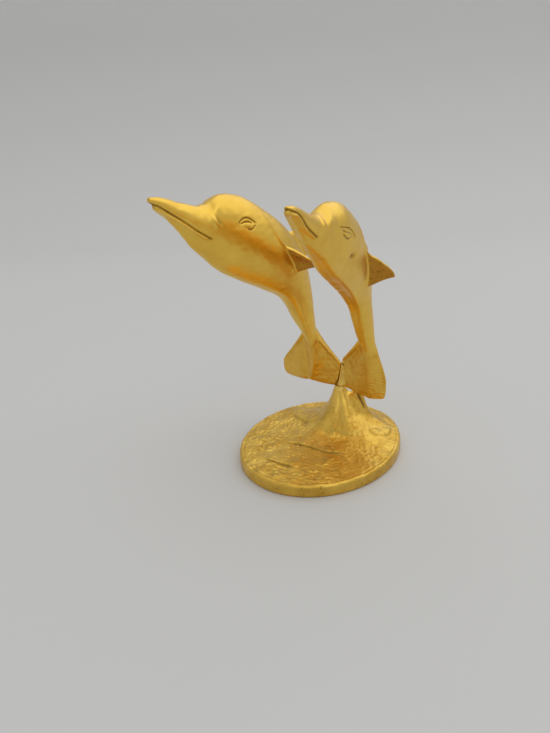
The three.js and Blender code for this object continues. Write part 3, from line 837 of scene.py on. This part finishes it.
baseLow, baseHigh = (np.array(corner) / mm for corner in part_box("wave_base"))
waveBase = {
    "half": (baseHigh - baseLow)[:2] / 2, "crestHeight": baseHigh[2], "thickness": 5,
    "rimRound": 1.2, "rimSteps": 8, "footChamfer": 0.5, "sectors": 480, "rings": 190, "crowding": 1.35,
    "crest": (1.5, 13.8), "topRadius": 2.7, "flare": 5, "folds": 5, "foldDepth": 0.07,
    "spread": 0.34, "spreadTurn": 5, "tongue": (9.2, 18.8), "tongueRise": 6.6, "tongueRadius": 2.2,
    "tonguePower": 1.6, "calmHeights": (1.5, 6), "slopeHeights": (6, 11),
    "pleats": [  # direction from the crest in degrees, width in degrees, rise
        (-82, 9, 0.3), (-62, 6, -0.25), (18, 26, 0.9), (33, 16, 1), (80, 8, -0.3), (110, 14, 0.35),
        (170, 10, -0.3), (-140, 10, 0.3), (-115, 8, -0.3)],
    "pleatWindow": (0.2, 2, 4, 10),
    "cut": [(6.4, 17.9), (7.6, 17.4), (9.5, 16.9), (11.4, 17.5)], "cutDepth": 0.9, "cutWidth": 0.4,
    "sheetReach": (24, 10.5), "sheetRise": 1.3, "sheetSharpness": 12, "scallops": 7, "scallopDepth": 0.08,
    "ridges": [  # line from left to right, rise, steep side in front, slope behind
        ([(-12.5, -11.6), (-6, -10.4), (0.3, -9.4), (8.9, -8.9), (13, -7.2), (18.1, -5.2)], 0.6, 0.35, 8),
        ([(-10.5, -26.7), (-2.8, -26.1), (5.5, -25.4)], 0.6, 0.35, 7),
        ([(-23, -14.5), (-16, -15.2), (-10, -14.6)], 0.25, 0.5, 5),
        ([(7, -19.6), (14, -18.8), (22, -17.2)], 0.25, 0.5, 5),
        ([(8.9, -8.7), (14.3, -7.9), (18, -9.6), (21.9, -12)], 0.3, 0.35, 0.9),
        ([(12.9, -11.2), (12.4, -14.5), (13.4, -18)], 0.25, 0.5, 0.9),
    ],
    "lips": [
        ([(-21, 10.4), (-18.9, 9.2), (-13.9, 7.2), (-9.3, 6.0), (-6.4, 8.0)], 0.8, 0.45, 4),
        ([(16.8, 11), (19.1, 10.8), (21.8, 11.9), (23.8, 14.5), (23.6, 17.6), (22.2, 21)], 0.7, 0.45, 4),
        ([(2.4, 1.7), (6.6, 3.4), (9.8, 3.2), (12.8, 4.1), (14.9, 7.4), (16.8, 11)], 0.4, 0.35, 3),
        ([(22, 25.4), (15.4, 28.7), (9.2, 31.4)], 0.4, 0.45, 1.6),
    ],
    "foam": [  # middle, half sizes and count of a patch of small bumps
        ((-19.5, -10), (7, 11), 90), ((-21, 3), (5, 5), 26), ((-7, -31), (8, 4), 44),
        ((15, -26.5), (7, 4), 46), ((21, 5), (6, 9), 34), ((3, -33), (6, 3), 22), ((-12, -2), (5, 5), 22),
    ],
    "foamRise": 0.32, "foamRadius": (0.5, 1.05), "foamShare": (0.5, 1), "foamPower": 1.5,
    "lineWindow": (0, 0.2, 0.8, 1), "footOff": 1.6, "footReach": 4,
    # darkening at the feet of the ridges and lips: painted shade
    "sootAndShade": {"ridges": 0.85, "lips": 0.3}, "shadeRise": 0.6,
    "uneven": 0.16, "unevenSize": 8, "dents": 0.08, "dentSize": 2.4,
    "wallRings": 8, "wallUneven": 0.05, "wallSize": 6,
    "rimGroove": 0.12, "rimGrooveIn": 1.9, "rimGrooveWidth": 0.35, "rimShade": 0.15,
    "hollowRounds": 10, "hollowDepths": (0.03, 0.22), "hollowPatinaAndShade": 0.75,
    "raw": 0.55, "rawSpread": 0.45, "rawSize": 9, "seed": 21,
}


def swellAt(spots, line, rise, front, behind):  # ridge with a steep front, and the painted shade along its foot
    distance, side, share = alongLine(spots, line)
    ends = window(share, *waveBase["lineWindow"])
    across = np.where(side < 0, distance / front, distance / behind)
    foot = bell(side + waveBase["footOff"] * front, front) * (distance < waveBase["footReach"] * front)
    return rise * ends * bell(across, 1), ends * foot


def foamAt(spots):  # patches of small bumps
    draws = np.random.default_rng(waveBase["seed"])
    foam = np.zeros(len(spots))
    for middle, reach, count in waveBase["foam"]:
        for _ in range(count):
            spot = np.array(middle) + draws.uniform(-1, 1, 2) * reach
            radius = draws.uniform(*waveBase["foamRadius"])
            lift = draws.uniform(*waveBase["foamShare"])
            near = np.abs(spots - spot).max(1) < radius
            gap = np.linalg.norm(spots[near] - spot, axis=1) / radius
            foam[near] = np.maximum(foam[near], lift * np.clip(1 - gap**2, 0, 1) ** waveBase["foamPower"])
    return foam


def waveTop(spots):  # height of the water above the underside, and the painted shade at ridge feet and in the cut
    look = waveBase
    offset = spots - np.array(look["crest"])
    angle = np.arctan2(offset[:, 1], offset[:, 0])
    away = np.hypot(offset[:, 0], offset[:, 1])
    fold = 1 + look["foldDepth"] * np.cos(look["folds"] * angle)
    spread = 1 - look["spread"] * np.maximum(0, np.cos(angle - math.radians(look["spreadTurn"])))
    beyond = np.maximum(0, away * fold - look["topRadius"]) * spread
    for turn, width, lift in look["pleats"]:
        off = np.degrees(np.angle(np.exp(1j * (angle - math.radians(turn)))))
        beyond = beyond - lift * bell(off, width) * window(beyond, *look["pleatWindow"])
    rise = look["crestHeight"] - look["thickness"]
    crest = rise * np.exp(-np.maximum(0, beyond) / look["flare"])
    toTongue = np.linalg.norm(spots - np.array(look["tongue"]), axis=1) / look["tongueRadius"]
    tongue = look["tongueRise"] * np.exp(-(toTongue ** look["tonguePower"]))
    scallop = 1 + look["scallopDepth"] * np.cos(look["scallops"] * angle)
    toSheet = np.hypot(*(offset / np.array(look["sheetReach"])).T) * scallop
    sheet = look["sheetRise"] * (0.5 - 0.5 * np.tanh(look["sheetSharpness"] * (toSheet - 1) / 2))
    height = look["thickness"] + np.minimum(crest + tongue, rise) + sheet * (1 - crest / rise)
    grimeAndShade = np.zeros(len(spots))
    slope = 1 - smoothstep(crest, *look["slopeHeights"])
    for kind, sootAndShade in look["sootAndShade"].items():
        for line, lift, front, behind in look[kind]:
            swell, foot = swellAt(spots, line, lift, front, behind)
            height = height + swell * slope
            grimeAndShade = np.maximum(grimeAndShade, sootAndShade * foot * min(1, lift / look["shadeRise"]))
    # the cut is darkened: painted shade in the slit
    cut = bell(alongLine(spots, look["cut"])[0], look["cutWidth"])
    height = height - look["cutDepth"] * cut
    height += look["foamRise"] * foamAt(spots) * (1 - smoothstep(crest, *look["calmHeights"]))
    height += look["uneven"] * lumps(spots, look["unevenSize"], look["seed"] + 1)
    height += look["dents"] * lumps(spots, look["dentSize"], look["seed"] + 2)
    return np.minimum(height, look["crestHeight"]), np.maximum(grimeAndShade, cut)


def makeBase():
    look = waveBase
    half, centre = look["half"], np.array(look["crest"])
    ways = np.stack(circle(look["sectors"]), 1)
    step, start = ways / half, centre / half
    a, b, c = (step**2).sum(1), step @ start, start @ start - 1
    reach = (np.sqrt(b * b - a * c) - b) / a  # from the crest to the edge of the oval

    def spotsAt(distance):
        return centre + ways * distance[:, None]

    wall = look["wallUneven"] * lumps(ways * half, look["wallSize"], look["seed"] + 3)
    wallTop = look["thickness"] - look["rimRound"]
    rings = [raised(spotsAt(reach - look["footChamfer"]), 0), raised(spotsAt(reach), look["footChamfer"])]
    for height in np.linspace(look["footChamfer"], wallTop, look["wallRings"])[1:-1]:
        rings.append(raised(spotsAt(reach + wall), height))
    inner = reach - look["rimRound"]
    edgeTop, _ = waveTop(spotsAt(inner))
    for turn in np.linspace(0, math.pi / 2, look["rimSteps"], endpoint=False):
        heights = wallTop + (edgeTop - wallTop) * math.sin(turn)
        rings.append(raised(spotsAt(reach - look["rimRound"] * (1 - math.cos(turn))), heights))
    shadeRings = [np.zeros(look["sectors"])] * len(rings)
    for ring in range(look["rings"], 0, -1):
        distance = inner * (ring / look["rings"]) ** look["crowding"]
        heights, grimeAndShade = waveTop(spotsAt(distance))
        # the groove inside the rim is darkened: painted shade
        edge = bell(reach - distance - look["rimGrooveIn"], look["rimGrooveWidth"])
        rings.append(raised(spotsAt(distance), heights - look["rimGroove"] * edge))
        shadeRings.append(np.maximum(grimeAndShade, look["rimShade"] * edge))
    points, faces = loft(rings)
    mesh = meshOf("waveBase", points, faces)
    # darkens the hollows of the base: partly patina, partly painted shade
    hollows = look["hollowPatinaAndShade"] * smoothstep(hollowness(mesh, look["hollowRounds"]), *look["hollowDepths"])
    raw = look["raw"] + look["rawSpread"] * lumps(points, look["rawSize"], look["seed"] + 4)
    keepWearAndShade(mesh, np.maximum(np.concatenate([*shadeRings, [0, 0]]), hollows), 0, raw)
    showPiece(mesh, "waveBase", "wave_base", finishes["cast"])


makeBase()

slitBraze = {
    "foot": 25.1, "topGap": 0.2, "seam": 0.3, "close": 0.5, "narrow": 1, "overlap": 3.8,
    "proud": (0.75, 0.3), "sink": 0.5, "feather": (0.4, 1), "dome": 1.3, "domeEdge": 0.05, "rounding": 0.06,
    "filletTop": 28.5, "fillet": 0.9, "filletPower": 0.6, "rows": 70, "columns": 40,
    "pit": (2.8, 35), "pitRadius": 0.5, "pitDepth": 0.9, "uneven": 0.06, "unevenSize": 2.2, "seed": 41,
}


def makeSlitBraze():  # filed braze: a seam stays open on its left, its right feathers out over the lobe
    look = slitBraze
    low, high = (np.array(corner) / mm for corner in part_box("slit_braze"))
    depth = (high[1] - low[1]) / 2
    middle = (high[1] + low[1]) / 2
    heights = np.linspace(look["foot"], high[2] - look["topGap"], look["rows"])
    share = (heights - slit["foot"]) / (slit["top"] - slit["foot"])
    edges = []
    for casting in castings.values():
        top, foot = casting["slit"]
        edges.append(foot + share * (top - foot))
    fillet = np.clip((look["filletTop"] - heights) / (look["filletTop"] - look["foot"]), 0, 1) ** 2
    lefts, rights = edges[0] + look["seam"], edges[1] + look["overlap"] * (1 - fillet)
    across = eased(look["columns"])
    fade = smoothstep(across, *look["feather"])
    frontTaper, backTaper = (proud - (proud + look["sink"]) * fade for proud in look["proud"])
    domes = np.sqrt(np.clip((heights[-1] + look["domeEdge"] - heights) / look["dome"], 0, 1))
    ends = np.sqrt(np.clip(np.minimum(across, 1 - across) / look["rounding"], 0, 1))
    bulge = np.sin(math.pi * across) ** look["filletPower"]
    sweep = math.tan(math.radians(lobe["sweep"]))
    rings = []
    for height, left, right, swell, dome in zip(heights, lefts, rights, look["fillet"] * fillet, domes):
        outs = left + (right - left) * across
        back = middle - sweep * (outs - outs.mean())
        thick = depth + swell * bulge
        front = np.column_stack([outs, back - (thick + frontTaper) * ends * dome])
        rearOuts = outs - look["close"] * (1 - across) - look["narrow"] * across
        rear = np.column_stack([rearOuts, back + (thick + backTaper) * ends * dome])
        rings.append(raised(np.vstack([front, rear[-2:0:-1]]), height))
    mesh = meshOf("slitBraze", *loft(rings))
    points, normals = pointsOf(mesh), normalsOf(mesh)
    fromPit = np.linalg.norm(points[:, [0, 2]] - look["pit"], axis=1)
    dip = bell(fromPit, look["pitRadius"]) * (points[:, 1] < middle)
    push = look["uneven"] * lumps(points, look["unevenSize"], look["seed"]) - look["pitDepth"] * dip
    setPoints(mesh, points + normals * push[:, None])
    # the braze pit is darkened: painted shade in the dip
    keepWearAndShade(mesh, dip, 1, 0)
    showPiece(mesh, "slitBraze", "slit_braze", finishes["braze"])


makeSlitBraze()

crestBead = {
    "foot": 0.7, "head": 1.4, "footHalf": (2.8, 2.8), "headHalf": (2.4, 2), "rings": 16, "sides": 96,
    "wobble": 0.0111, "wobbleSize": 1.1, "seamGrime": 0.75, "seamWidth": 0.16, "filed": 0.5, "raw": 0.2,
    "seed": 31,
}


def makeCrestBead():  # braze that runs from the tip of the crest up into the feet of the tail lobes
    look = crestBead
    low, high = (np.array(corner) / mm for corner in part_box("crest_bead"))
    middle = (low + high) / 2
    ring = np.stack(circle(look["sides"]), 1)
    ring = ring * (1 + look["wobble"] * lumps(ring, look["wobbleSize"], look["seed"]))[:, None]
    rings = []
    for share in np.linspace(0, 1, look["rings"]):
        half = np.array(look["footHalf"]) * (1 - share) + np.array(look["headHalf"]) * share
        height = low[2] - look["foot"] + share * (look["foot"] + look["head"])
        rings.append(raised(middle[:2] + ring * half, height))
    points, faces = loft(rings)
    mesh = meshOf("crestBead", points, faces)
    grimeAndShade = look["seamGrime"] * bell(points[:, 2] - low[2] - look["head"], look["seamWidth"])
    keepWearAndShade(mesh, grimeAndShade, look["filed"], look["raw"])
    showPiece(mesh, "crestBead", "crest_bead", finishes["braze"])


makeCrestBead()

studio = {  # sizes in metres
    "floor": (0.62, 0.62, 0.61, 1), "floorRough": 0.9, "sweepFront": 1.6, "sweepBack": 0.55,
    "sweepRadius": 0.3, "sweepHeight": 0.42, "sweepWidth": 2.4, "sweepSteps": 24,
    "sky": (1, 1, 1, 1), "skyStrength": 0.56, "aim": (0, 0, 0.05),
    "lamps": [  # name, place, size, brightness of its face
        ("overhead", (0.25, 0.75, 1.6), 3.0, 0.56),
        ("window", (1.0, -1.0, 1.2), 1.5, 0.45),
    ],
}


def makeFloor():  # pale paper that sweeps up behind the figurine
    heading = math.radians(camera["heading"])
    across = np.array([math.cos(heading), math.sin(heading), 0])
    ahead = np.array([-math.sin(heading), math.cos(heading), 0])
    turn = np.linspace(0, math.pi / 2, studio["sweepSteps"])
    back = studio["sweepBack"] + studio["sweepRadius"] * np.sin(turn)
    rise = studio["sweepRadius"] * (1 - np.cos(turn))
    profile = [(-studio["sweepFront"], 0), *zip(back, rise), (back[-1], studio["sweepHeight"])]
    points = []
    for depth, height in profile:
        for side in (-studio["sweepWidth"], studio["sweepWidth"]):
            points.append(across * side + ahead * depth + (0, 0, height))
    faces = [(2 * k, 2 * k + 1, 2 * k + 3, 2 * k + 2) for k in range(len(profile) - 1)]
    mesh = meshOf("floor", np.array(points), faces)
    mesh.polygons.foreach_set("use_smooth", np.ones(len(mesh.polygons), bool))
    paper = bpy.data.materials.new("palePaper")
    flow = freshTree(paper)
    skin = flow.node("ShaderNodeBsdfPrincipled", {}, {
        "Base Color": studio["floor"], "Roughness": studio["floorRough"]})
    flow.node("ShaderNodeOutputMaterial", {}, {"Surface": skin})
    mesh.materials.append(paper)
    inScene("floor", mesh)


def makeLights():
    world = bpy.data.worlds.new("studio")
    flow = freshTree(world)
    sky = flow.node("ShaderNodeBackground", {}, {"Color": studio["sky"], "Strength": studio["skyStrength"]})
    flow.node("ShaderNodeOutputWorld", {}, {"Surface": sky})
    bpy.context.scene.world = world
    for name, spot, size, glow in studio["lamps"]:
        data = bpy.data.lights.new(name, "AREA")
        data.size = size
        data.energy = glow * math.pi * size**2
        lamp = inScene(name, data)
        lamp.location = spot
        aim = Vector(studio["aim"]) - Vector(spot)
        lamp.rotation_euler = aim.to_track_quat("-Z", "Y").to_euler()
    bpy.context.scene.view_settings.view_transform = "Standard"


makeFloor()
makeLights()
print("studio made")
